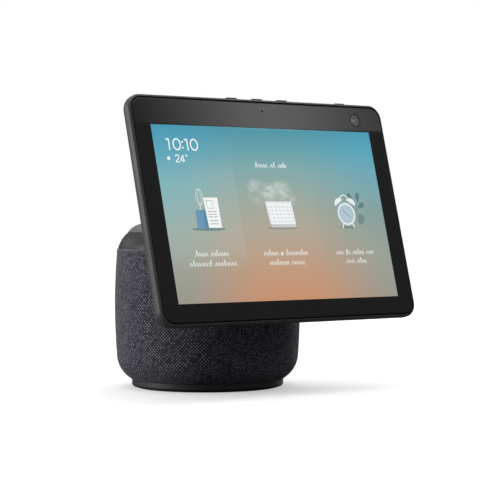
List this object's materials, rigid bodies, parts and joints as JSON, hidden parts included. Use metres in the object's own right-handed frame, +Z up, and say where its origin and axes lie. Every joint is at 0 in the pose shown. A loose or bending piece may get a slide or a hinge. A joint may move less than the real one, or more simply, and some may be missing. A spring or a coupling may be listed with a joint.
{
  "type": "smart display",
  "caption": "Smart display: wide touch screen on a tilting arm, carried by a motorised turning cap on a rounded, fabric-covered speaker base.",
  "frame": {"origin": "on the swivel axis, at the underside of the foot pad, where the object stands", "axes": "+Z up along the swivel axis; +X along the screen's width, to the right as a viewer sees the screen; the screen faces -Y"},
  "size_m": [0.2508, 0.1854, 0.2267],
  "materials": {
    "rubber_black": "matte",
    "plastic_charcoal": "matte",
    "plastic_key": "matte",
    "plastic_satin": "satin",
    "plastic_inner": "matte",
    "acetal_white": "satin",
    "knit_charcoal": "matte",
    "spider_cloth": "matte",
    "dome_silk": "satin",
    "cone_paper": "matte",
    "steel_plated": "satin",
    "steel_bearing": "polished",
    "steel_painted": "satin",
    "ferrite": "matte",
    "copper_coil": "satin",
    "aluminium_cast": "satin",
    "board_green": "satin",
    "jack_black": "gloss",
    "cable_black": "satin",
    "glass_clear": "gloss",
    "ink_black": "gloss",
    "lcd_picture": "gloss",
    "backlight_white": "satin"
  },
  "bodies": {
    "base": {"foot_pad": "rubber_black", "plinth": "plastic_charcoal", "ballast_plate": "steel_plated", "base_screws": "steel_plated", "speaker_enclosure": "plastic_inner", "woofer_frame": "steel_painted", "woofer_screws": "steel_plated", "woofer_magnet": "ferrite", "woofer_surround": "rubber_black", "woofer_spider": "spider_cloth", "tweeter_frames": "plastic_inner", "tweeter_domes": "dome_silk", "grille_shell": "plastic_inner", "fabric_sleeve": "knit_charcoal", "inlet_panel": "plastic_charcoal", "dc_jack": "jack_black", "main_board": "board_green", "heat_sink": "aluminium_cast", "base_harness": "cable_black", "motor_deck": "aluminium_cast", "bearing_outer_race": "steel_bearing", "motor_stator": "copper_coil", "motor_board": "board_green", "shoulder_ring": "plastic_satin"},
    "bearing_cage": {"bearing_balls": "steel_bearing"},
    "motor_rotor": {"motor_bell": "steel_painted", "motor_pinion": "acetal_white"},
    "woofer_moving": {"woofer_cone": "cone_paper", "voice_coil": "copper_coil"},
    "turret": {"turntable": "aluminium_cast", "ring_gear": "acetal_white", "bearing_inner_race": "steel_bearing", "bearing_clip": "steel_plated", "top_cap": "plastic_charcoal", "arm_frame": "aluminium_cast", "arm_shell_upper": "plastic_charcoal", "arm_shell_lower": "plastic_charcoal", "arm_screws": "steel_plated", "hinge_pin": "steel_plated", "friction_washers": "steel_plated", "hinge_nuts": "steel_plated", "turret_harness": "cable_black"},
    "screen": {"rear_housing": "plastic_charcoal", "cover_glass": "glass_clear", "bezel_mask": "ink_black", "lcd_panel": "lcd_picture", "backlight": "backlight_white", "mid_frame": "aluminium_cast", "screen_screws": "steel_plated", "hinge_bracket": "steel_plated", "display_board": "board_green", "screen_harness": "cable_black", "camera_module": "jack_black", "light_sensor": "jack_black", "button_board": "board_green", "wifi_antennas": "board_green"},
    "mic_camera_key": {"mic_camera_button": "plastic_key"},
    "volume_down_key": {"volume_down_button": "plastic_key"},
    "volume_up_key": {"volume_up_button": "plastic_key"},
    "shutter": {"camera_shutter": "plastic_key"}
  },
  "joints": [
    {"name": "swivel", "type": "hinge", "parent": "base", "child": "turret", "pos_m": [0, 0, 0.0985], "axis": [0, 0, 1], "range_deg": [-175, 175]},
    {"name": "cage_turn", "type": "hinge", "parent": "base", "child": "bearing_cage", "pos_m": [0, 0, 0.0985], "axis": [0, 0, 1], "range_deg": [-90, 90]},
    {"name": "motor_spin", "type": "hinge", "parent": "base", "child": "motor_rotor", "pos_m": [0, 0.04, 0.1], "axis": [0, 0, 1], "range_deg": [-1060, 1060]},
    {"name": "woofer_travel", "type": "slide", "parent": "base", "child": "woofer_moving", "axis": [0, -1, 0], "range_m": [-0.003, 0.003], "stiffness_N_per_m": 1500, "deforming": ["woofer_surround", "woofer_spider"]},
    {"name": "tilt", "type": "hinge", "parent": "turret", "child": "screen", "pos_m": [0, -0.06959, 0.14299], "axis": [-1, 0, 0], "range_deg": [-12, 30]},
    {"name": "mic_camera_press", "type": "slide", "parent": "screen", "child": "mic_camera_key", "axis": [0, -0.2521, -0.9677], "range_m": [0, 0.0005], "stiffness_N_per_m": 400, "springref_m": -0.001},
    {"name": "volume_down_press", "type": "slide", "parent": "screen", "child": "volume_down_key", "axis": [0, -0.2521, -0.9677], "range_m": [0, 0.0005], "stiffness_N_per_m": 400, "springref_m": -0.001},
    {"name": "volume_up_press", "type": "slide", "parent": "screen", "child": "volume_up_key", "axis": [0, -0.2521, -0.9677], "range_m": [0, 0.0005], "stiffness_N_per_m": 400, "springref_m": -0.001},
    {"name": "shutter_slide", "type": "slide", "parent": "screen", "child": "shutter", "axis": [1, 0, 0], "range_m": [0, 0.011]}
  ],
  "couplings": [
    {"joint": "motor_spin", "follows": "swivel", "ratio": 6},
    {"joint": "cage_turn", "follows": "swivel", "ratio": 0.462}
  ]
}
